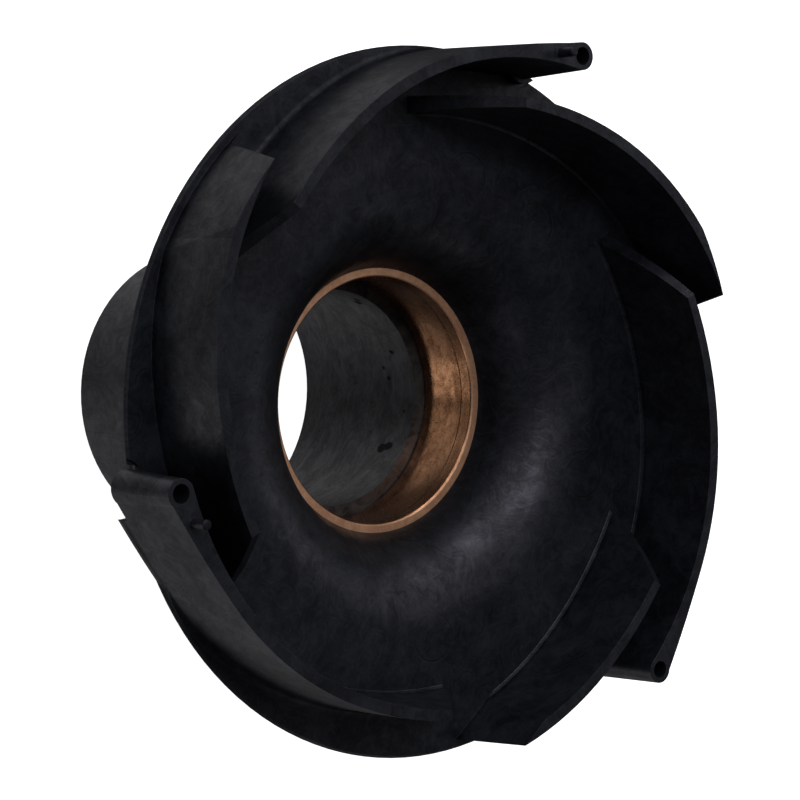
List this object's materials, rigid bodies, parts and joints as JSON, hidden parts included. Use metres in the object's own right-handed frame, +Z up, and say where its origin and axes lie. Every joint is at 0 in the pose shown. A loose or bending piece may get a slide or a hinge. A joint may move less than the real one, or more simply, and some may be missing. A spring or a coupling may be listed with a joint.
{
  "type": "pump guide vane",
  "caption": "Moulded pump guide vane: spiral vanes with screw bosses on a dished plate, over a suction tube with a bronze wear ring in its eye.",
  "frame": {"origin": "centre of the tube's open end", "axes": "+Z up the tube's axis towards the vanes, +X through the first screw boss, the one with a locating pin whose next boss anticlockwise has one too"},
  "size_m": [0.2235, 0.2148, 0.1535],
  "materials": {
    "black_plastic": "moulded satin, faintly mottled by its glass fibre",
    "bronze": "turned, dull coppery tan"
  },
  "bodies": {
    "root": {"guide_vane": "black_plastic", "wear_ring": "bronze"}
  },
  "joints": []
}
